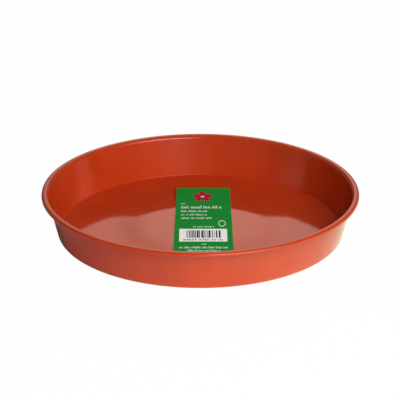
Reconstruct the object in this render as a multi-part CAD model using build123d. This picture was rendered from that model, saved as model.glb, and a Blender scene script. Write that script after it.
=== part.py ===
# Plant saucer: a round moulded drip tray with a printed card label stuck to its floor.
#
# Millimetres, +Z up. The origin is at the middle of the foot, on the surface that the saucer
# stands on. +X is to the right, and -Y is the front, where the near end of the label lies.

from build123d import *
from math import atan2, cos
import os

# Saucer, one injection moulding: overall sizes
rim_diameter = 250.0
saucer_height = 34.4
base_diameter = 225.0       # outside, where foot and wall would meet in a sharp corner
wall_top_diameter = 240.4   # outside of the wall, where it meets the underside of the rim
wall_foot_thickness = 1.8   # at the foot; the wall thins upwards, to draw out of the mould
wall_top_thickness = 0.8    # at the top of the rim
floor_thickness = 2.0
base_outer_radius = 3.5     # corner from the foot to the wall
base_inner_radius = 0.3     # corner from the floor to the wall

# Rim: a flange that runs out of the wall and turns down at its edge
rim_thickness = 1.7
rim_drop = 2.5              # height of the turned-down edge
rim_edge_thickness = 1.5    # width of the turned-down edge
rim_throat_radius = 3.0     # inside, from the wall up to the top of the rim
rim_top_radius = 1.8        # outer top corner
rim_root_radius = 1.5       # underneath, from the wall to the flange
rim_groove_radius = 0.3     # underneath, from the flange to the turned-down edge
rim_lip_radius = 0.3        # both lower corners of the turned-down edge

# Crown: a flat panel in the middle of the floor is pushed up, with a gentle ramp round it, so that
# the saucer stands on a flat outer ring and doesn't rock
crown_height = 1.2
crown_panel_diameter = 72.0     # where the ramp starts
crown_diameter = 148.0          # where the ramp has run out

# Gate mark: what the moulding leaves in the middle of the underside
gate_recess_diameter = 10.0
gate_recess_depth = 0.4
gate_nub_diameter = 2.4
gate_nub_height = 0.25

# Label: a tapered card that lies flat on the crown's panel, a little to the right of the middle
label_length = 153.8
label_far_width = 43.9
label_near_width = 47.4
label_thickness = 0.4
label_corner_radius = 1.0
label_offset = 2.4

# Glue dots: two under the label, one at each end of the panel
glue_thickness = 0.3
glue_dot_diameter = 12.0
glue_dot_margin = 4.0           # from the dot to the edge of the panel

# Sizes worked out from those above
rim_radius = rim_diameter / 2
base_radius = base_diameter / 2
wall_top_radius = wall_top_diameter / 2
crown_radius = crown_diameter / 2
crown_panel_radius = crown_panel_diameter / 2
crown_ramp_middle = (crown_panel_radius + crown_radius) / 2
label_underside = floor_thickness + crown_height + glue_thickness
glue_dot_reach = crown_panel_radius - glue_dot_margin - glue_dot_diameter / 2

rim_underside = saucer_height - rim_thickness
rim_lower_edge = saucer_height - rim_drop
rim_groove_outer_radius = rim_radius - rim_edge_thickness
wall_lean = atan2(wall_top_radius - base_radius, rim_underside)

upwards = (Align.CENTER, Align.CENTER, Align.MIN)    # a cylinder that stands on its place


def outer_wall_radius(height):
    """Radius of the straight outer face of the wall at a height above the foot."""
    return base_radius + (wall_top_radius - base_radius) * height / rim_underside


def inner_wall_radius(height):
    """Radius of the inner face, which lies inside the outer one by the wall's thickness at that height."""
    taper = (wall_top_thickness - wall_foot_thickness) * height / saucer_height
    return outer_wall_radius(height) - (wall_foot_thickness + taper) / cos(wall_lean)


def crown_half(level):
    """Edges from the flat ring in to the axis, in the XZ plane: a ramp of two arcs, then the panel."""
    ring_end = (crown_radius, 0, level)
    ramp_middle = (crown_ramp_middle, 0, level + crown_height / 2)
    panel_edge = (crown_panel_radius, 0, level + crown_height)
    lower_arc = TangentArc(ring_end, ramp_middle, tangent=(-1, 0, 0))
    upper_arc = TangentArc(ramp_middle, panel_edge, tangent=lower_arc % 1)
    panel = Line(panel_edge, (0, 0, level + crown_height))
    return [lower_arc, upper_arc, panel]


def make_saucer():
    """Floor, wall and rim as one revolved section, with the gate mark in the underside."""
    section_corners = [
        (crown_radius, 0, 0, None),
        (base_radius, 0, 0, base_outer_radius),
        (wall_top_radius, 0, rim_underside, rim_root_radius),
        (rim_groove_outer_radius, 0, rim_underside, rim_groove_radius),
        (rim_groove_outer_radius, 0, rim_lower_edge, rim_lip_radius),
        (rim_radius, 0, rim_lower_edge, rim_lip_radius),
        (rim_radius, 0, saucer_height, rim_top_radius),
        (inner_wall_radius(saucer_height), 0, saucer_height, rim_throat_radius),
        (inner_wall_radius(floor_thickness), 0, floor_thickness, base_inner_radius),
        (crown_radius, 0, floor_thickness, None),
    ]
    points = [corner[:3] for corner in section_corners]
    radii = [corner[3] for corner in section_corners[1:-1]]
    wall_and_rim = FilletPolyline(*points, radius=radii)
    underside = crown_half(0)
    upper_side = crown_half(floor_thickness)
    axis_line = Line((0, 0, crown_height), (0, 0, crown_height + floor_thickness))
    section = make_face(wall_and_rim.edges() + underside + upper_side + [axis_line])
    saucer = revolve(section, axis=Axis.Z)

    recess = Cylinder(gate_recess_diameter / 2, gate_recess_depth, align=upwards)
    saucer -= Pos(0, 0, crown_height) * recess
    nub = Cylinder(gate_nub_diameter / 2, gate_nub_height, align=upwards)
    saucer += Pos(0, 0, crown_height + gate_recess_depth - gate_nub_height) * nub
    return saucer


def make_label_card():
    """A flat card with a tapered outline and rounded corners."""
    far_y = label_length / 2
    outline = Polygon(
        (-label_near_width / 2, -far_y),
        (label_near_width / 2, -far_y),
        (label_far_width / 2, far_y),
        (-label_far_width / 2, far_y),
        align=None,
    )
    outline = fillet(outline.vertices(), label_corner_radius)
    return Pos(label_offset, 0, label_underside) * extrude(outline, amount=label_thickness)


def make_glue_dot(end):
    """One dot between panel and card; end is 1 at the back of the panel and -1 at the front."""
    dot = Cylinder(glue_dot_diameter / 2, glue_thickness, align=upwards)
    return Pos(label_offset, end * glue_dot_reach, floor_thickness + crown_height) * dot


nodes = {
    "saucer": make_saucer(),
    "label_card": make_label_card(),
    "glue_dot_rear": make_glue_dot(1),
    "glue_dot_front": make_glue_dot(-1),
}

os.makedirs("parts", exist_ok=True)
for name, shape in nodes.items():
    shape.label = name
    export_step(shape, f"parts/{name}.step")
    print(f"{name}: {shape.volume:.1f} mm3")
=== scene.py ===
"""Models the looks of a plant saucer: the moulded dish, the card glued inside it, and a white stage."""

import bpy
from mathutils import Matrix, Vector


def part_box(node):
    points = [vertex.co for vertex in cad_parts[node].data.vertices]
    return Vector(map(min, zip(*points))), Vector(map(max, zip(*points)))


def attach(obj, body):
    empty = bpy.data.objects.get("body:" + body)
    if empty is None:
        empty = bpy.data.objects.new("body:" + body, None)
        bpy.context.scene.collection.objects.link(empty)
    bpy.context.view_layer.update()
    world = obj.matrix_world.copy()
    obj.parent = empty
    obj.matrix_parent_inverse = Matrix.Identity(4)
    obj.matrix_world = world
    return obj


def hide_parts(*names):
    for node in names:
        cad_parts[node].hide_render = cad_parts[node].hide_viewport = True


bl_info = {
    "name": "Plant saucer",
    "version": (1, 0, 0),
    "blender": (4, 5, 0),
    "location": "View3D > Sidebar > Plant saucer",
    "description": "Models a moulded plant saucer with a printed card label, on a white stage",
    "category": "Mesh",
}

import math
import random
from typing import NamedTuple

import bmesh
import bpy
from bpy.props import FloatProperty, FloatVectorProperty, PointerProperty
from mathutils import Vector, noise

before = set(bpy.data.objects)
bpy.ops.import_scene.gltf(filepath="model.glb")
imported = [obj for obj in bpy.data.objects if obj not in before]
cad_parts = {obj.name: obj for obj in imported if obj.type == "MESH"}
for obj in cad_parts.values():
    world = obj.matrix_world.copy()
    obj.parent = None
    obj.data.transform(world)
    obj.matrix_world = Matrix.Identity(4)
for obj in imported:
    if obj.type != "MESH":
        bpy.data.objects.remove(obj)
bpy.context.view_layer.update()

MM = 0.001

# Where the frame holds each piece
SAUCER_LOW, SAUCER_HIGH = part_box("saucer")
CARD_LOW, CARD_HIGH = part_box("label_card")
GLUE_NODES = ("glue_dot_rear", "glue_dot_front")
PANEL_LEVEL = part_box(GLUE_NODES[0])[0].z
CARD_MIDDLE = (CARD_LOW + CARD_HIGH) / 2

# How finely shapes are drawn
TURN_STEPS = 288
CORNER_STEP = math.radians(11)
UNDERSIDE_STEPS = 6             # each straight part of the underside
UNDERSIDE_RAMP_STEPS = 16
FLOOR_RING_STEPS = 16
FLOOR_RAMP_STEPS = 24
FLOOR_PANEL_STEPS = 12
MERGE_DISTANCE = 0.001 * MM

# Edges that turn by less than this shade smooth
MOULDED_SMOOTHING = math.radians(35)
CUT_SMOOTHING = math.radians(30)
PRESSED_SMOOTHING = math.radians(60)

LEVEL = 0.9                     # upright share of a normal from which a face counts as level


def linear(hex_code):
    """An sRGB hex colour, such as AE3310, as three linear values."""
    shares = [int(hex_code[place:place + 2], 16) / 255 for place in (0, 2, 4)]
    return tuple(c / 12.92 if c <= 0.04045 else ((c + 0.055) / 1.055) ** 2.4 for c in shares)


def length(name, description, millimetres):
    """A length that the user can change, written in millimetres."""
    return FloatProperty(
        name=name, description=description, default=millimetres * MM, min=0, unit="LENGTH", precision=4
    )


def colour(name, description, hex_code):
    """A colour that the user can change, written in sRGB."""
    return FloatVectorProperty(
        name=name, description=description, default=linear(hex_code), min=0, max=1, subtype="COLOR"
    )


class SaucerSizes(bpy.types.PropertyGroup):
    """The dish's section; its rim and its height come from the frame."""

    base_radius: length("Base radius", "Where foot and wall would meet in a sharp corner", 112.5)
    wall_top_radius: length("Wall top radius", "Outside of the wall, under the rim", 120.2)
    wall_foot_thickness: length("Wall foot thickness", "Square to the wall, at the foot", 1.8)
    wall_top_thickness: length("Wall top thickness", "Square to the wall, at the top of the rim", 0.8)
    floor_thickness: length("Floor thickness", "Of the flat ring and of the raised panel", 2.0)
    panel_radius: length("Panel radius", "Raised flat panel in the middle of the floor", 36)
    ring_radius: length("Ring radius", "Where the ramp round the panel has run out", 74)
    rim_thickness: length("Rim thickness", "Of the flange that runs out of the wall", 1.7)
    rim_drop: length("Rim drop", "Height of the rim's turned-down edge", 2.5)
    rim_edge_thickness: length("Rim edge thickness", "Width of the turned-down edge", 1.5)
    base_outer_rounding: length("Base outer rounding", "From the foot to the wall", 3.5)
    base_inner_rounding: length("Base inner rounding", "From the floor to the wall", 0.3)
    rim_throat_drop: length("Rim throat drop", "From the top of the rim down to where the wall flares", 1.8)
    rim_throat_rounding: length("Rim throat rounding", "Inside, from the wall to the flare", 2.5)
    rim_inner_radius: length("Rim inner radius", "Inner edge of the top of the rim", 120.9)
    rim_inner_rounding: length("Rim inner rounding", "Of that edge", 0.4)
    rim_top_rounding: length("Rim top rounding", "Outer top corner of the rim", 1.8)
    rim_root_rounding: length("Rim root rounding", "Underneath, from the wall to the flange", 1.5)
    rim_groove_rounding: length("Rim groove rounding", "Underneath, from the flange to its edge", 0.3)
    rim_lip_rounding: length("Rim lip rounding", "Both lower corners of the turned-down edge", 0.3)
    gate_radius: length("Gate radius", "Recess in the middle of the underside", 5.0)
    gate_depth: length("Gate depth", "Of that recess", 0.4)
    gate_rounding: length("Gate rounding", "Edge of that recess", 0.16)
    gate_nub_radius: length("Gate nub radius", "Broken-off sprue in the recess", 1.2)
    gate_nub_height: length("Gate nub height", "Of the broken-off sprue", 0.25)
    gate_nub_rounding: length("Gate nub rounding", "Edge of the broken-off sprue", 0.15)
    floor_wave: length("Floor wave", "How far the cooling floor has drawn up and down", 0.05)
    floor_wave_length: length("Floor wave length", "From crest to crest of that waviness", 55)
    floor_wave_margin: length("Floor wave margin", "Even border of the floor, in from the base radius", 8)
    floor_wave_fade: length("Floor wave fade", "Width over which the waviness sets in", 12)


class LabelSizes(bpy.types.PropertyGroup):
    """Card, print and glue; the card's length and near end and the glue's size come from the frame."""

    far_width: length("Far width", "Width of the card's far end", 43.9)
    corner_radius: length("Corner radius", "Of the card's rounded corners", 1.0)
    ink_thickness: length("Ink thickness", "How far the print stands above the card", 0.03)
    glue_rounding: length("Glue rounding", "Lower edge of the glue dots", 0.14)


class Finishes(bpy.types.PropertyGroup):
    """Colours of the materials."""

    plastic: colour("Plastic", "Terracotta pigment of the moulding", "AE3310")
    card_green: colour("Card green", "Ink that covers the card", "1F8932")
    card_white: colour("Card white", "Bare card and white ink", "F6F6F3")
    print_black: colour("Black print", "Bars and the row of marks under them", "26232A")
    petal_red: colour("Petal red", "Flower at the head of the card", "B5123C")
    flower_eye: colour("Flower eye", "Middle of that flower", "F0DCA8")
    glue: colour("Glue", "Clear removable glue", "EFE6CF")


class StageSettings(bpy.types.PropertyGroup):
    """Camera and light."""

    lens: FloatProperty(name="Lens", description="Focal length of the camera", default=180, unit="CAMERA")
    camera_distance: length("Camera distance", "From the camera to the point that it aims at", 1579.4)
    camera_height: FloatProperty(
        name="Camera angle", description="How far the camera looks down", default=math.radians(22.55),
        subtype="ANGLE",
    )
    key_power: FloatProperty(
        name="Key light", description="Soft box at the front right", default=28.6, unit="POWER"
    )
    back_light: FloatProperty(
        name="Back light", description="Strength of the lit panel behind the dish", default=1.7
    )


# Modelling helpers


def open_piece(name):
    """Starts an empty mesh at the origin, alone selected and in edit mode."""
    bpy.ops.object.select_all(action="DESELECT")
    piece = bpy.data.objects.new(name, bpy.data.meshes.new(name))
    bpy.context.scene.collection.objects.link(piece)
    bpy.context.view_layer.objects.active = piece
    piece.select_set(True)
    bpy.ops.object.mode_set(mode="EDIT")
    bpy.ops.mesh.select_mode(type="VERT")
    return piece


def select_points(test):
    """Selects the vertices of the open piece whose place passes the test."""
    shape = bmesh.from_edit_mesh(bpy.context.object.data)
    for vertex in shape.verts:
        vertex.select_set(test(vertex.co))
    shape.select_flush_mode()
    bmesh.update_edit_mesh(bpy.context.object.data)


def close_piece(smooth_angle):
    """Merges doubles, turns the faces outwards and goes back to object mode."""
    bpy.ops.mesh.select_all(action="SELECT")
    bpy.ops.mesh.remove_doubles(threshold=MERGE_DISTANCE)
    bpy.ops.mesh.normals_make_consistent(inside=False)
    bpy.ops.object.mode_set(mode="OBJECT")
    bpy.ops.object.shade_smooth_by_angle(angle=smooth_angle)


def apply_modifier(piece, kind, **settings):
    """Adds a modifier to the active piece and applies it."""
    modifier = piece.modifiers.new(kind.title(), kind)
    for name, value in settings.items():
        setattr(modifier, name, value)
    bpy.ops.object.modifier_apply(modifier=modifier.name)


def fit_piece(piece, body, materials, nodes=()):
    """Gives a finished piece its materials and ties it to the frame."""
    for material in materials:
        piece.data.materials.append(material)
    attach(piece, body)
    if nodes:
        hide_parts(*nodes)


# Saucer


class Corner(NamedTuple):
    """A point of the section: distance from the axis, height and the radius that rounds it."""

    out: float
    up: float
    rounding: float = 0


def stretch(start, end, steps):
    """Points between two ends of a straight part of the section, the ends left out."""
    shares = [step / steps for step in range(1, steps)]
    return [Corner(start[0] + (end[0] - start[0]) * s, start[1] + (end[1] - start[1]) * s) for s in shares]


def ramp(sizes, level, steps):
    """Points of the ramp from the ring in to the panel: two shallow arcs that meet half way."""
    rise = PANEL_LEVEL - sizes.floor_thickness
    points = []
    for step in range(steps + 1):
        share = step / steps
        lift = 2 * share ** 2 if share < 0.5 else 1 - 2 * (1 - share) ** 2
        out = sizes.ring_radius + (sizes.panel_radius - sizes.ring_radius) * share
        points.append(Corner(out, level + rise * lift))
    return points


def saucer_section(sizes):
    """The section from the axis under the floor, out, up round the rim and back in to the axis."""
    rim = SAUCER_HIGH.x
    height = SAUCER_HIGH.z
    rise = PANEL_LEVEL - sizes.floor_thickness
    flange = height - sizes.rim_thickness
    lip = height - sizes.rim_drop
    throat = height - sizes.rim_throat_drop
    groove = rim - sizes.rim_edge_thickness
    slope = (sizes.wall_top_radius - sizes.base_radius) / flange
    taper = (sizes.wall_top_thickness - sizes.wall_foot_thickness) / height

    def inner(level):
        inset = (sizes.wall_foot_thickness + taper * level) * math.hypot(1, slope)
        return sizes.base_radius + slope * level - inset

    gate_roof = rise + sizes.gate_depth
    nub_end = gate_roof - sizes.gate_nub_height
    gate = [
        Corner(0, nub_end),
        Corner(sizes.gate_nub_radius, nub_end, sizes.gate_nub_rounding),
        Corner(sizes.gate_nub_radius, gate_roof),
        Corner(sizes.gate_radius, gate_roof),
        Corner(sizes.gate_radius, rise, sizes.gate_rounding),
    ]
    under = ramp(sizes, 0, UNDERSIDE_RAMP_STEPS)[::-1]
    over = ramp(sizes, sizes.floor_thickness, FLOOR_RAMP_STEPS)
    base = Corner(sizes.base_radius, 0, sizes.base_outer_rounding)
    foot = Corner(inner(sizes.floor_thickness), sizes.floor_thickness, sizes.base_inner_rounding)
    foot_ring_end = (base.out - 2 * base.rounding, base.up)
    floor_ring_end = (foot.out - 4 * foot.rounding, foot.up)
    return [
        *gate,
        *stretch(gate[-1], under[0], UNDERSIDE_STEPS),
        *under,
        *stretch(under[-1], foot_ring_end, UNDERSIDE_STEPS),
        base,
        Corner(sizes.wall_top_radius, flange, sizes.rim_root_rounding),
        Corner(groove, flange, sizes.rim_groove_rounding),
        Corner(groove, lip, sizes.rim_lip_rounding),
        Corner(rim, lip, sizes.rim_lip_rounding),
        Corner(rim, height, sizes.rim_top_rounding),
        Corner(sizes.rim_inner_radius, height, sizes.rim_inner_rounding),
        Corner(inner(throat), throat, sizes.rim_throat_rounding),
        foot,
        *stretch(floor_ring_end, over[0], FLOOR_RING_STEPS),
        *over,
        *stretch(over[-1], (0, PANEL_LEVEL), FLOOR_PANEL_STEPS),
        Corner(0, PANEL_LEVEL),
    ]


def draw_section(corners):
    """Draws the section as a chain of edges in the XZ plane, then rounds its corners."""
    points = [Vector((corner.out, 0, corner.up)) for corner in corners]
    bpy.ops.mesh.primitive_plane_add(size=MM, location=points[0])
    bpy.ops.mesh.merge(type="CENTER")
    for start, end in zip(points, points[1:]):
        bpy.ops.mesh.extrude_region_move(TRANSFORM_OT_translate={"value": end - start})
    for before, here, after, corner in zip(points, points[1:], points[2:], corners[1:]):
        if not corner.rounding:
            continue
        turn = (here - before).angle(after - here)
        select_points(lambda place: (place - here).length < MERGE_DISTANCE)
        bpy.ops.mesh.bevel(
            offset=corner.rounding * math.tan(turn / 2),
            segments=max(3, math.ceil(turn / CORNER_STEP)),
            affect="VERTICES",
        )


def wave_floor(piece, sizes):
    """Draws the upper side of the floor a little up and down, as a thin moulding cools."""
    reach = sizes.base_radius - sizes.floor_wave_margin
    half_wave = sizes.floor_wave_length / 2
    upper_side = [v.co for v in piece.data.vertices if v.normal.z > LEVEL and v.co.z < PANEL_LEVEL + MM]
    for place in upper_side:
        out = math.hypot(place.x, place.y)
        fade = min(1, max(0, (reach - out) / sizes.floor_wave_fade))
        spot = Vector((place.x, place.y, 0)) / half_wave
        place.z += sizes.floor_wave * fade * noise.noise(spot)


class PLANT_SAUCER_OT_mould_saucer(bpy.types.Operator):
    """Spins the dish from one section: floor with a raised panel, leaning wall and turned-down rim"""

    bl_idname = "plant_saucer.mould_saucer"
    bl_label = "Mould saucer"

    def execute(self, context):
        sizes = context.scene.saucer_sizes
        piece = open_piece("saucer_moulding")
        draw_section(saucer_section(sizes))
        bpy.ops.mesh.select_all(action="SELECT")
        bpy.ops.mesh.spin(steps=TURN_STEPS, angle=math.tau, center=(0, 0, 0), axis=(0, 0, 1))
        close_piece(MOULDED_SMOOTHING)
        wave_floor(piece, sizes)
        apply_modifier(piece, "WEIGHTED_NORMAL", keep_sharp=True)
        finishes = [lapped_polypropylene(), turned_polypropylene()]
        fit_piece(piece, "saucer", finishes, ["saucer"])
        for face in piece.data.polygons:
            on_floor = abs(face.normal.z) > LEVEL and face.center.z < PANEL_LEVEL + MM
            on_rim = face.center.z > SAUCER_HIGH.z - sizes.rim_drop
            face.material_index = 0 if on_floor or on_rim else 1
        return {"FINISHED"}


# Label


class PrintRow(NamedTuple):
    """A row of marks in place of words: its sides from the card's middle, in millimetres."""

    left: float
    right: float
    top: float
    bottom: float
    pitch: float


WORD_ROWS = (
    PrintRow(-18.5, -12.8, 45.0, 42.4, 0.85),
    PrintRow(-18.2, 16.1, 39.2, 33.2, 1.15),
    PrintRow(-17.8, 4.6, 29.4, 25.9, 0.95),
    PrintRow(-17.8, 4.1, 22.2, 18.9, 0.95),
    PrintRow(-17.7, 8.2, 15.6, 11.9, 0.95),
    PrintRow(-8.3, 8.9, -2.6, -5.2, 0.85),
    PrintRow(-1.6, 3.9, -36.4, -38.9, 0.8),
    PrintRow(-18.8, 19.4, -42.2, -46.2, 0.95),
    PrintRow(-12.3, 13.2, -48.6, -52.0, 0.85),
)
PANEL_ROW = PrintRow(-19.0, 18.6, -8.4, -33.2, 0)
BARS_ROW = PrintRow(-13.2, 14.2, -11.5, -26.0, 0.36)
MARKS_ROW = PrintRow(-15.6, 15.8, -26.6, -31.4, 1.3)
PRINT_SEED = 7
INK_SUNK_SHARE = 0.5            # of the ink's thickness that lies in the card

# Strokes in a word, fewest and most, and a stroke's height and width as shares of its row's height and pitch
FIRST_WORD_STROKES = (3, 8)
WORD_STROKES = (3, 9)
STROKE_HEIGHT_SHARES = (0.62, 0.62, 0.68, 1.0)
STROKE_WIDTH_SHARES = (0.38, 0.56)

# Bars and the gaps between them, in pitches of their row
BAR_WIDTHS = (1, 2, 2, 3, 4)
BAR_GAPS = (1, 1, 2, 3)
BARS_END_GAP = 3

# Ring and flower, in millimetres; both are drawn out along the card, because it is seen at a slant
RING_PLACE = (14.8, 2.5)
RING_RADIUS = 2.9
RING_HOLE_SHARE = 0.84
RING_STRETCH = 2.1
FLOWER_PLACE = (-0.6, 58.2)
FLOWER_STRETCH = 1.3
PETALS = 5
PETAL_REACH = 4.9
PETAL_RADIUS = 3.6
PETAL_WIDTH_SHARE = 0.76
EYE_RADIUS = 2.0


def on_card(right, up, level):
    """The place that lies so many millimetres right of and above the card's middle."""
    return Vector((CARD_MIDDLE.x + right * MM, CARD_MIDDLE.y + up * MM, level))


def add_mark(left, right, top, bottom, level):
    """Adds one printed rectangle to the open piece; sides are in millimetres from the card's middle."""
    middle = on_card((left + right) / 2, (top + bottom) / 2, level)
    bpy.ops.mesh.primitive_plane_add(size=MM, location=middle)
    bpy.ops.transform.resize(value=(right - left, top - bottom, 1), center_override=middle)


def finish_print(piece, ink, sizes):
    """Gives the flat marks of the open piece their ink, which is a little sunk into the card."""
    thickness = (1 + INK_SUNK_SHARE) * sizes.ink_thickness
    bpy.ops.mesh.select_all(action="SELECT")
    bpy.ops.mesh.extrude_region_move(TRANSFORM_OT_translate={"value": (0, 0, thickness)})
    close_piece(CUT_SMOOTHING)
    fit_piece(piece, "label", [ink])


def add_words(row, level, draw):
    """Fills a row with groups of upright strokes, which read as words too small to make out."""
    strokes_left = draw.randint(*FIRST_WORD_STROKES)
    left = row.left
    tall = row.top - row.bottom
    while left + row.pitch < row.right:
        if strokes_left:
            share = draw.choice(STROKE_HEIGHT_SHARES)
            width = row.pitch * draw.uniform(*STROKE_WIDTH_SHARES)
            add_mark(left, left + width, row.bottom + tall * share, row.bottom, level)
        else:
            strokes_left = draw.randint(*WORD_STROKES)
        strokes_left -= 1
        left += row.pitch


def add_bars(row, level, draw):
    """Fills a row with bars of uneven widths, drawn at random so that they hold no number."""
    left = row.left
    while left + BARS_END_GAP * row.pitch < row.right:
        right = left + row.pitch * draw.choice(BAR_WIDTHS)
        add_mark(left, right, row.top, row.bottom, level)
        left = right + row.pitch * draw.choice(BAR_GAPS)


class PLANT_SAUCER_OT_cut_card(bpy.types.Operator):
    """Cuts the tapered card and rounds its corners"""

    bl_idname = "plant_saucer.cut_card"
    bl_label = "Cut label card"

    def execute(self, context):
        sizes = context.scene.label_sizes
        piece = open_piece("label_card_stock")
        span = CARD_HIGH - CARD_LOW
        middle = (CARD_MIDDLE.x, CARD_MIDDLE.y, CARD_LOW.z)
        far_end = (CARD_MIDDLE.x, CARD_HIGH.y, CARD_LOW.z)
        bpy.ops.mesh.primitive_plane_add(size=1, location=middle)
        bpy.ops.transform.resize(value=(span.x, span.y, 1), center_override=middle)
        select_points(lambda place: place.y > CARD_MIDDLE.y)
        bpy.ops.transform.resize(value=(sizes.far_width / span.x, 1, 1), center_override=far_end)
        bpy.ops.mesh.select_all(action="SELECT")
        bpy.ops.mesh.bevel(offset=sizes.corner_radius, segments=6, affect="VERTICES")
        bpy.ops.mesh.select_all(action="SELECT")
        bpy.ops.mesh.extrude_region_move(TRANSFORM_OT_translate={"value": (0, 0, span.z)})
        close_piece(CUT_SMOOTHING)
        fit_piece(piece, "label", [printed_card(), bare_card()], ["label_card"])
        for face in piece.data.polygons:
            face.material_index = 0 if face.normal.z > LEVEL else 1
        return {"FINISHED"}


class PLANT_SAUCER_OT_print_card(bpy.types.Operator):
    """Prints the card: rows of word-like strokes, a white panel with bars, a ring and a flower"""

    bl_idname = "plant_saucer.print_card"
    bl_label = "Print label card"

    def execute(self, context):
        sizes = context.scene.label_sizes
        finishes = context.scene.finishes
        level = CARD_HIGH.z - INK_SUNK_SHARE * sizes.ink_thickness
        draw = random.Random(PRINT_SEED)
        white = printing_ink("white_printing_ink", finishes.card_white)
        black = printing_ink("black_printing_ink", finishes.print_black)
        red = printing_ink("crimson_printing_ink", finishes.petal_red)
        cream = printing_ink("cream_printing_ink", finishes.flower_eye)

        words = open_piece("label_word_strokes")
        for row in WORD_ROWS:
            add_words(row, level, draw)
        finish_print(words, white, sizes)

        panel = open_piece("label_white_panel")
        add_mark(PANEL_ROW.left, PANEL_ROW.right, PANEL_ROW.top, PANEL_ROW.bottom, level)
        finish_print(panel, white, sizes)

        bars = open_piece("label_bars")
        add_bars(BARS_ROW, level + sizes.ink_thickness, draw)
        add_words(MARKS_ROW, level + sizes.ink_thickness, draw)
        finish_print(bars, black, sizes)

        ring = open_piece("label_ring")
        middle = on_card(*RING_PLACE, level)
        bpy.ops.mesh.primitive_circle_add(vertices=48, radius=RING_RADIUS * MM, location=middle)
        bpy.ops.mesh.extrude_region_move()
        bpy.ops.transform.resize(value=(RING_HOLE_SHARE, RING_HOLE_SHARE, 1), center_override=middle)
        bpy.ops.mesh.select_all(action="SELECT")
        bpy.ops.transform.resize(value=(1, RING_STRETCH, 1), center_override=middle)
        finish_print(ring, white, sizes)

        eye = open_piece("label_flower_eye")
        middle = on_card(*FLOWER_PLACE, level)
        bpy.ops.mesh.primitive_circle_add(
            vertices=32, radius=EYE_RADIUS * MM, fill_type="NGON", location=middle
        )
        bpy.ops.transform.resize(value=(1, FLOWER_STRETCH, 1), center_override=middle)
        finish_print(eye, cream, sizes)

        flower = open_piece("label_flower_petals")
        petal_middle = middle + Vector((0, PETAL_REACH * MM, 0))
        for turn in range(PETALS):
            bpy.ops.mesh.primitive_circle_add(
                vertices=32, radius=PETAL_RADIUS * MM, fill_type="NGON", location=petal_middle
            )
            bpy.ops.transform.resize(value=(PETAL_WIDTH_SHARE, 1, 1), center_override=petal_middle)
            bpy.ops.transform.rotate(value=math.tau * turn / PETALS, orient_axis="Z", center_override=middle)
        bpy.ops.mesh.select_all(action="SELECT")
        bpy.ops.transform.resize(value=(1, FLOWER_STRETCH, 1), center_override=middle)
        finish_print(flower, red, sizes)
        return {"FINISHED"}


class PLANT_SAUCER_OT_press_glue(bpy.types.Operator):
    """Presses the two dots of glue between the floor and the card"""

    bl_idname = "plant_saucer.press_glue"
    bl_label = "Press glue dots"

    def execute(self, context):
        sizes = context.scene.label_sizes
        glue = clear_glue()
        for node in GLUE_NODES:
            low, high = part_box(node)
            piece = open_piece(node + "_pressed")
            bpy.ops.mesh.primitive_cylinder_add(
                vertices=64, radius=(high.x - low.x) / 2, depth=high.z - low.z, location=(low + high) / 2
            )
            select_points(lambda place: place.z < low.z + MERGE_DISTANCE)
            bpy.ops.mesh.bevel(offset=sizes.glue_rounding, segments=4, affect="EDGES")
            close_piece(PRESSED_SMOOTHING)
            fit_piece(piece, "label", [glue], [node])
        return {"FINISHED"}


# Materials

MIX_A, MIX_B, MIX_RESULT = 6, 7, 2      # colour sockets of a Mix node
FLOW_STREAKS = 8                        # by heading from the gate: about 14 mm apart at the foot of the wall


def add_node(tree, kind, inputs=None, **settings):
    """Adds one node with its settings, and fills its inputs with values or links them to sockets."""
    node = tree.nodes.new("ShaderNode" + kind)
    for name, value in settings.items():
        setattr(node, name, value)
    for key, value in (inputs or {}).items():
        if isinstance(value, bpy.types.NodeSocket):
            tree.links.new(value, node.inputs[key])
        else:
            node.inputs[key].default_value = value
    return node


def start_material(name):
    """A new material with only its output; returns it with its tree."""
    material = bpy.data.materials.new(name)
    material.use_nodes = True
    material.node_tree.nodes.clear()
    return material, material.node_tree


def finish_material(tree, shader):
    """Joins the last shader to the output."""
    add_node(tree, "OutputMaterial", {"Surface": shader.outputs[0]})


def repeats(millimetres):
    """Scale of a texture whose features are about that far apart."""
    return 1 / (millimetres * MM)


def opaque(rgb, share=1):
    """A colour socket's four values, with the colour made lighter or darker by a share."""
    return (*(c * share for c in rgb), 1)


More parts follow.
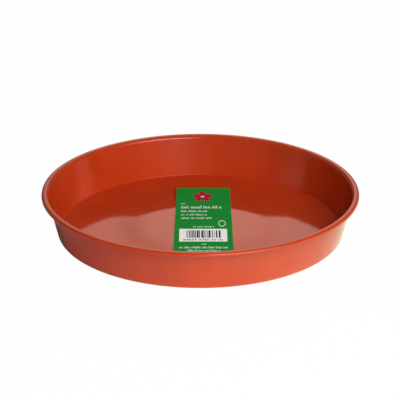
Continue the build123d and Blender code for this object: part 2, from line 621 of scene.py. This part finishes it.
def moulded_polypropylene(name, smoothest, roughest, **polish):
    """Pigmented polypropylene, injection moulded in a polished tool: satin gloss, with faint streaks where
    the melt ran out from the gate, and a fine orange-peel skin that breaks up the edges of reflections."""
    material, tree = start_material(name)
    tint = bpy.context.scene.finishes.plastic
    place = add_node(tree, "TexCoord").outputs["Object"]
    flat = add_node(tree, "VectorMath", {0: place, 1: (1, 1, 0)}, operation="MULTIPLY").outputs[0]
    heading = add_node(tree, "VectorMath", {0: flat}, operation="NORMALIZE").outputs[0]
    streaks = add_node(tree, "TexNoise", {"Vector": heading, "Scale": FLOW_STREAKS, "Detail": 2}).outputs[0]
    clouds = add_node(tree, "TexNoise", {"Vector": place, "Scale": repeats(35), "Detail": 3}).outputs[0]
    pigment = add_node(tree, "Math", {0: streaks, 1: clouds}, operation="ADD").outputs[0]
    depth = add_node(tree, "MapRange", {"Value": pigment, "From Min": 0.7, "From Max": 1.3}).outputs[0]
    paint = add_node(
        tree, "Mix", {0: depth, MIX_A: opaque(tint, 0.94), MIX_B: opaque(tint, 1.06)}, data_type="RGBA"
    ).outputs[MIX_RESULT]
    scuffs = add_node(tree, "TexNoise", {"Vector": place, "Scale": repeats(6), "Detail": 6}).outputs[0]
    gloss = add_node(tree, "MapRange", {
        "Value": scuffs, "From Min": 0.3, "From Max": 0.7, "To Min": smoothest, "To Max": roughest,
    }).outputs[0]
    peel = add_node(tree, "TexNoise", {"Vector": place, "Scale": repeats(1.5), "Detail": 2}).outputs[0]
    skin = add_node(tree, "Bump", {"Height": peel, "Strength": 0.3, "Distance": 0.01 * MM}).outputs[0]
    shader = add_node(tree, "BsdfPrincipled", {
        "Base Color": paint, "Roughness": gloss, "IOR": 1.49, "Normal": skin, **polish,
    })
    finish_material(tree, shader)
    return material, shader


def lapped_polypropylene():
    """Floor and rim, from tool faces that were lapped to a mirror: they show the room sharply."""
    return moulded_polypropylene("lapped_polypropylene", 0.06, 0.1)[0]


def turned_polypropylene():
    """The wall, from tool faces that were polished on the lathe: fine lines run round the dish and draw every
    highlight out across them, up and down the wall."""
    material, shader = moulded_polypropylene(
        "turned_polypropylene", 0.09, 0.12, **{"Anisotropic": 0.9, "Anisotropic Rotation": 0.25}
    )
    tree = material.node_tree
    round_the_dish = add_node(tree, "Tangent", direction_type="RADIAL", axis="Z").outputs[0]
    tree.links.new(round_the_dish, shader.inputs["Tangent"])
    return material


def printed_card():
    """Coated card under a full coat of matt green ink: even, with the faint mottle of offset print."""
    material, tree = start_material("green_printed_card")
    tint = bpy.context.scene.finishes.card_green
    place = add_node(tree, "TexCoord").outputs["Object"]
    mottle = add_node(tree, "TexNoise", {"Vector": place, "Scale": repeats(2.5), "Detail": 5}).outputs[0]
    paint = add_node(
        tree, "Mix", {0: mottle, MIX_A: opaque(tint, 0.92), MIX_B: opaque(tint, 1.08)}, data_type="RGBA"
    ).outputs[MIX_RESULT]
    fibres = add_node(tree, "TexNoise", {"Vector": place, "Scale": repeats(0.5), "Detail": 4}).outputs[0]
    skin = add_node(tree, "Bump", {"Height": fibres, "Strength": 0.2, "Distance": 0.02 * MM}).outputs[0]
    finish_material(tree, add_node(tree, "BsdfPrincipled", {
        "Base Color": paint, "Roughness": 0.7, "Specular IOR Level": 0.01, "Normal": skin,
    }))
    return material


def bare_card():
    """Uncoated white card, as on the back and the cut edges: matt, slightly warm, with short fibres."""
    material, tree = start_material("bare_white_card")
    tint = bpy.context.scene.finishes.card_white
    place = add_node(tree, "TexCoord").outputs["Object"]
    fibres = add_node(tree, "TexNoise", {"Vector": place, "Scale": repeats(0.6), "Detail": 6}).outputs[0]
    paint = add_node(
        tree, "Mix", {0: fibres, MIX_A: opaque(tint, 0.84), MIX_B: opaque(tint)}, data_type="RGBA"
    ).outputs[MIX_RESULT]
    skin = add_node(tree, "Bump", {"Height": fibres, "Strength": 0.4, "Distance": 0.03 * MM}).outputs[0]
    finish_material(tree, add_node(tree, "BsdfPrincipled", {
        "Base Color": paint, "Roughness": 0.85, "Specular IOR Level": 0.2, "Normal": skin,
    }))
    return material


def printing_ink(name, tint):
    """Offset printing ink on coated card: a thin, even film with a little mottle."""
    material, tree = start_material(name)
    place = add_node(tree, "TexCoord").outputs["Object"]
    mottle = add_node(tree, "TexNoise", {"Vector": place, "Scale": repeats(1.2), "Detail": 4}).outputs[0]
    paint = add_node(
        tree, "Mix", {0: mottle, MIX_A: opaque(tint, 0.93), MIX_B: opaque(tint)}, data_type="RGBA"
    ).outputs[MIX_RESULT]
    finish_material(tree, add_node(
        tree, "BsdfPrincipled", {"Base Color": paint, "Roughness": 0.6, "Specular IOR Level": 0.05}
    ))
    return material


def clear_glue():
    """Removable rubber glue, pressed flat: clear and faintly yellow, with a wet gloss and small ripples."""
    material, tree = start_material("clear_removable_glue")
    tint = bpy.context.scene.finishes.glue
    place = add_node(tree, "TexCoord").outputs["Object"]
    ripples = add_node(tree, "TexNoise", {"Vector": place, "Scale": repeats(2), "Detail": 3}).outputs[0]
    gloss = add_node(tree, "MapRange", {"Value": ripples, "To Min": 0.15, "To Max": 0.4}).outputs[0]
    skin = add_node(tree, "Bump", {"Height": ripples, "Strength": 0.5, "Distance": 0.1 * MM}).outputs[0]
    finish_material(tree, add_node(tree, "BsdfPrincipled", {
        "Base Color": opaque(tint), "Roughness": gloss, "IOR": 1.5, "Transmission Weight": 0.7,
        "Normal": skin,
    }))
    return material


# Stage

WHITE = (1, 1, 1, 1)

# The white floor, in metres and by distance to the right of the dish's middle
FLOOR_SIZE = 8
FLOOR_GAP = 0.05 * MM                   # keeps the floor clear of the foot
PAPER_WHITE = 0.9
MIRRORED_PAPER_SHARE = 0.6              # of that white, which reflections find: painted shade on the paper
SEEN_GLOW_SHARE = 0.98                  # of the white that the eye sees, which shadows can't darken
TABLE_GLOW = (0.36, 0.56)               # light that the floor sends up on its left and on its right
PAINTED_TABLE_SHEEN = (0.88, 1.08, 0.64, 1)     # painted sheen: cream light that only reflections find on its right
LIT_SIDE = (-0.1, 0.06)                 # where its brighter side begins and is full
FAR_SIDE = (0.07, 0.13)                 # where its sheen begins to fade again and has faded
FAR_SHEEN_SHARE = 0.66                  # of the sheen, which is left there

# The room, by direction from the dish. Each edge runs from where a lit area is dark to where it is full.
UNLIT_ROOM = 0.18                       # how bright reflections find the room outside its lit areas
PANEL_CREAM = (1.65, 1.03, 0.84, 1)     # how they find the panel behind the dish
PANEL_EDGES = (
    ("X", -0.19, -0.01),
    ("X", 0.2, 0.05),
    ("Y", 0.3, 0.8),
    ("Z", 0.2, 0.32),
)
SOFT_BOX_CREAM = (8.6, 8.2, 7.2, 1)     # how they find the soft box at the front right
SOFT_BOX_EDGES = (
    ("X", -0.08, 0.24),
    ("X", 0.9, 0.46),
    ("Y", 0.0, -0.4),
    ("Z", 0.16, 0.36),
    ("Z", 0.74, 0.5),
)

# The lamp in that soft box, and the camera
KEY_AZIMUTH = math.radians(29)
KEY_ELEVATION = math.radians(38)
KEY_DISTANCE = 1.4
KEY_WIDTH = 1.6
KEY_HEIGHT = 1.1
CAMERA_AIM = Vector((-0.32, 0, 25.1)) * MM
SENSOR_WIDTH = 36                       # in millimetres, as the lens is


def ray_kinds(tree):
    """Three sockets that are 1 for rays from the camera, for rays that gloss or glass sends on, and for
    scattered rays."""
    path = add_node(tree, "LightPath").outputs
    sent_on = add_node(
        tree, "Math", {0: path["Is Glossy Ray"], 1: path["Is Transmission Ray"]}, operation="MAXIMUM"
    ).outputs[0]
    return path["Is Camera Ray"], sent_on, path["Is Diffuse Ray"]


def white_sweep():
    """Matt white paper sweep, bright enough to look white, that still takes a soft shadow. It glows on the
    dish with painted light, more on its right; reflections find a painted sheen on its right and painted
    shade, the paper darker than it is. From below it is clear, so that the underside of the dish can be
    looked at."""
    material, tree = start_material("white_paper_sweep")
    camera_ray, sent_on_ray, scattered_ray = ray_kinds(tree)
    across = add_node(tree, "SeparateXYZ", {0: add_node(tree, "TexCoord").outputs["Object"]}).outputs["X"]
    lit_side = add_node(tree, "MapRange", {
        "Value": across, "From Min": LIT_SIDE[0], "From Max": LIT_SIDE[1],
    }).outputs[0]
    rising = add_node(tree, "MapRange", {
        "Value": lit_side, "To Min": TABLE_GLOW[0], "To Max": TABLE_GLOW[1],
    }).outputs[0]
    far_side = add_node(tree, "MapRange", {
        "Value": across, "From Min": FAR_SIDE[0], "From Max": FAR_SIDE[1], "To Min": 1,
        "To Max": FAR_SHEEN_SHARE,
    }).outputs[0]
    sheen_there = add_node(tree, "Math", {0: lit_side, 1: far_side}, operation="MULTIPLY").outputs[0]
    in_gloss = add_node(tree, "Math", {0: sent_on_ray, 1: sheen_there}, operation="MULTIPLY").outputs[0]
    in_light = add_node(tree, "Math", {0: scattered_ray, 1: rising}, operation="MULTIPLY").outputs[0]
    # Painted shade: reflections find the paper darker than scattered rays do
    paper_white_with_painted_shade = add_node(tree, "MapRange", {
        "Value": sent_on_ray, "To Min": PAPER_WHITE, "To Max": PAPER_WHITE * MIRRORED_PAPER_SHARE,
    }).outputs[0]
    paper = add_node(tree, "BsdfDiffuse", {"Color": paper_white_with_painted_shade}).outputs[0]
    # Painted sheen, which only reflections find
    sheen = add_node(tree, "Emission", {"Color": PAINTED_TABLE_SHEEN, "Strength": in_gloss}).outputs[0]
    glow = add_node(tree, "Emission", {"Color": WHITE, "Strength": in_light}).outputs[0]
    sent_up = add_node(tree, "AddShader", {0: sheen, 1: glow}).outputs[0]
    lit_paper = add_node(tree, "AddShader", {0: paper, 1: sent_up}).outputs[0]
    white = add_node(tree, "Emission", {"Color": WHITE, "Strength": 1}).outputs[0]
    to_eye = add_node(tree, "Math", {0: camera_ray, 1: SEEN_GLOW_SHARE}, operation="MULTIPLY").outputs[0]
    upper_side = add_node(tree, "MixShader", {0: to_eye, 1: lit_paper, 2: white}).outputs[0]
    clear = add_node(tree, "BsdfTransparent").outputs[0]
    from_below = add_node(tree, "NewGeometry").outputs["Backfacing"]
    finish_material(tree, add_node(tree, "MixShader", {0: from_below, 1: upper_side, 2: clear}))
    return material


def lit_area(tree, along, edges):
    """A socket that is 1 inside the edges of a lit area, by direction, and fades to 0 outside them."""
    area = 1
    for axis, dark_end, lit_end in edges:
        edge = add_node(tree, "MapRange", {
            "Value": along[axis], "From Min": dark_end, "From Max": lit_end,
        }, interpolation_type="SMOOTHSTEP").outputs[0]
        area = add_node(tree, "Math", {0: edge, 1: area}, operation="MULTIPLY").outputs[0]
    return area


def white_room(back_light):
    """A white room: plain white to the eye, and lit by a panel behind the dish. Reflections find that panel
    and the soft box at the front right."""
    world = bpy.data.worlds.new("white_room")
    world.use_nodes = True
    tree = world.node_tree
    tree.nodes.clear()
    camera_ray, sent_on_ray, _ = ray_kinds(tree)
    heading = add_node(tree, "TexCoord").outputs["Generated"]
    along = add_node(tree, "SeparateXYZ", {0: heading}).outputs
    panel = lit_area(tree, along, PANEL_EDGES)
    soft_box = lit_area(tree, along, SOFT_BOX_EDGES)
    found = add_node(tree, "MapRange", {"Value": panel, "To Min": UNLIT_ROOM, "To Max": 1}).outputs[0]
    spread = add_node(tree, "Math", {0: panel, 1: back_light}, operation="MULTIPLY").outputs[0]
    lamp = add_node(tree, "Background", {"Color": WHITE, "Strength": spread}).outputs[0]
    mirrored_room = add_node(tree, "Background", {"Color": PANEL_CREAM, "Strength": found}).outputs[0]
    mirrored_box = add_node(tree, "Background", {"Color": SOFT_BOX_CREAM, "Strength": soft_box}).outputs[0]
    mirrored = add_node(tree, "AddShader", {0: mirrored_room, 1: mirrored_box}).outputs[0]
    to_eye = add_node(tree, "Background", {"Color": WHITE, "Strength": 1}).outputs[0]
    unseen = add_node(tree, "MixShader", {0: sent_on_ray, 1: lamp, 2: mirrored}).outputs[0]
    add_node(tree, "OutputWorld", {
        "Surface": add_node(tree, "MixShader", {0: camera_ray, 1: unseen, 2: to_eye}).outputs[0],
    })
    return world


def around(azimuth, elevation, distance):
    """A place seen from the middle of the dish; azimuth 0 is the front and grows to the right."""
    level = math.cos(elevation) * distance
    return Vector((math.sin(azimuth) * level, -math.cos(azimuth) * level, math.sin(elevation) * distance))


def add_key_light(power):
    """Adds the soft box's lamp, facing the dish. Reflections find the box in the room instead, with softer
    edges."""
    place = around(KEY_AZIMUTH, KEY_ELEVATION, KEY_DISTANCE)
    bpy.ops.object.light_add(type="AREA", location=place, rotation=place.to_track_quat("Z", "Y").to_euler())
    lamp = bpy.context.object
    lamp.name = "key_soft_box"
    lamp.data.shape = "ELLIPSE"
    lamp.data.size = KEY_WIDTH
    lamp.data.size_y = KEY_HEIGHT
    lamp.data.energy = power
    lamp.visible_glossy = False


class PLANT_SAUCER_OT_set_stage(bpy.types.Operator):
    """Lays the white sweep, lights it and sets the camera"""

    bl_idname = "plant_saucer.set_stage"
    bl_label = "Set stage"

    def execute(self, context):
        stage = context.scene.stage_settings
        bpy.ops.object.select_all(action="DESELECT")
        bpy.ops.mesh.primitive_plane_add(size=FLOOR_SIZE, location=(0, 0, -FLOOR_GAP))
        floor = bpy.context.object
        floor.name = "white_sweep"
        floor.data.materials.append(white_sweep())
        context.scene.world = white_room(stage.back_light)
        add_key_light(stage.key_power)

        place = CAMERA_AIM + around(0, stage.camera_height, stage.camera_distance)
        bpy.ops.object.camera_add(location=place, rotation=(math.pi / 2 - stage.camera_height, 0, 0))
        camera = bpy.context.object
        camera.name = "front_camera"
        camera.data.lens = stage.lens
        camera.data.sensor_width = SENSOR_WIDTH
        context.scene.camera = camera
        context.scene.view_settings.view_transform = "Standard"
        return {"FINISHED"}


# Add-on

SETTINGS = {
    "saucer_sizes": SaucerSizes,
    "label_sizes": LabelSizes,
    "finishes": Finishes,
    "stage_settings": StageSettings,
}
OPERATORS = (
    PLANT_SAUCER_OT_mould_saucer,
    PLANT_SAUCER_OT_cut_card,
    PLANT_SAUCER_OT_print_card,
    PLANT_SAUCER_OT_press_glue,
    PLANT_SAUCER_OT_set_stage,
)


class PLANT_SAUCER_PT_panel(bpy.types.Panel):
    """Sizes, colours and steps of the saucer"""

    bl_idname = "PLANT_SAUCER_PT_panel"
    bl_label = "Plant saucer"
    bl_space_type = "VIEW_3D"
    bl_region_type = "UI"
    bl_category = "Plant saucer"

    def draw(self, context):
        for group_name in SETTINGS:
            group = getattr(context.scene, group_name)
            column = self.layout.column(align=True)
            for key in group.__annotations__:
                column.prop(group, key)
        for operator in OPERATORS:
            self.layout.operator(operator.bl_idname)


CLASSES = (*SETTINGS.values(), *OPERATORS, PLANT_SAUCER_PT_panel)


def register():
    for cls in CLASSES:
        bpy.utils.register_class(cls)
    for name, group in SETTINGS.items():
        setattr(bpy.types.Scene, name, PointerProperty(type=group))


def unregister():
    for name in SETTINGS:
        delattr(bpy.types.Scene, name)
    for cls in reversed(CLASSES):
        bpy.utils.unregister_class(cls)


def main():
    register()
    bpy.ops.plant_saucer.mould_saucer()
    bpy.ops.plant_saucer.cut_card()
    bpy.ops.plant_saucer.print_card()
    bpy.ops.plant_saucer.press_glue()
    bpy.ops.plant_saucer.set_stage()


if __name__ == "__main__":
    main()
